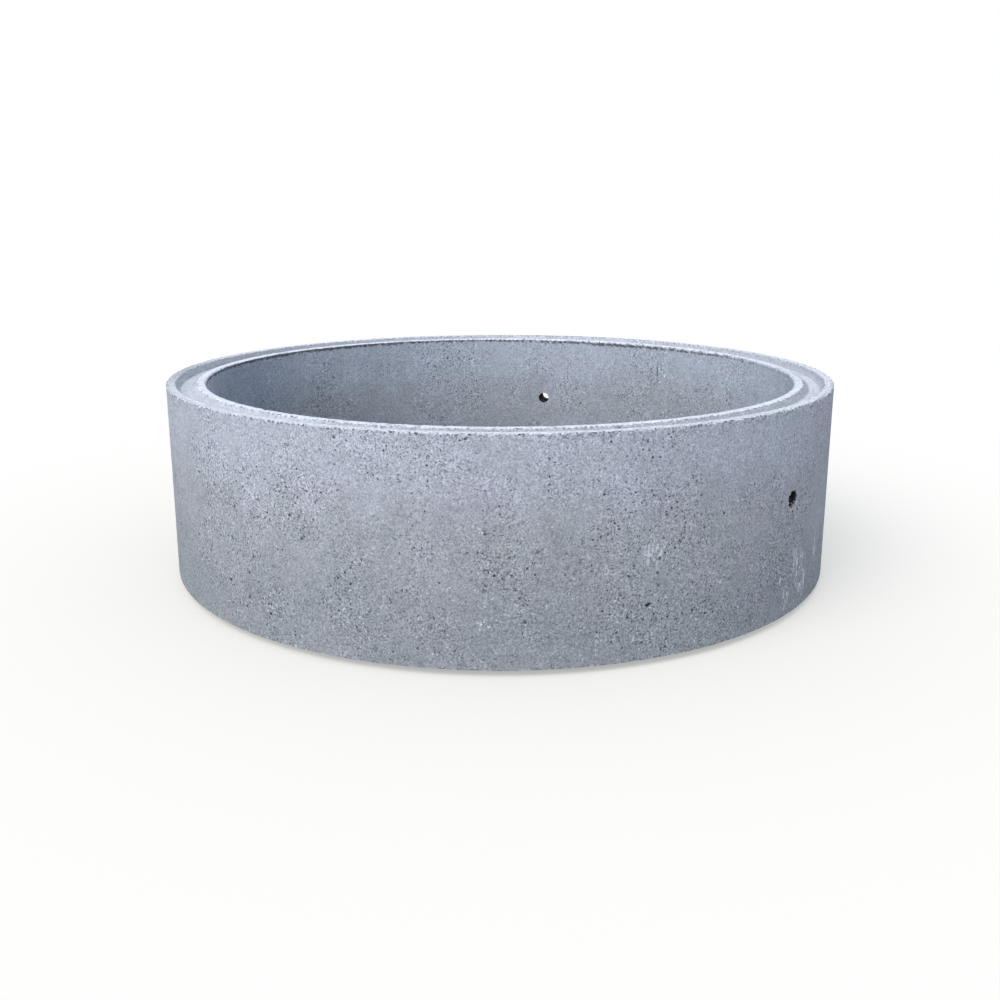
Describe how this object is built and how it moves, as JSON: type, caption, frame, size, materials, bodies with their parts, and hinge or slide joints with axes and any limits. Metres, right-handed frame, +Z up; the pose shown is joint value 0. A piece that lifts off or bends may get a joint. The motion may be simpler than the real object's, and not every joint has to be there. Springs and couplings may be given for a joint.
{
  "type": "concrete culvert ring",
  "caption": "Short wide concrete ring for a culvert or shaft, with a joint groove round its top, a tongue round its foot and radial lifting holes.",
  "frame": {"origin": "on the ring's axis, level with the tip of the tongue that it stands on", "axes": "+Z up along the ring's axis, out of the grooved end; -Y towards the side that the picture shows; +X to the right there"},
  "size_m": [2.7, 2.7, 0.773],
  "materials": {
    "concrete": "matte"
  },
  "bodies": {
    "root": {"culvert_ring": "concrete"}
  },
  "joints": []
}
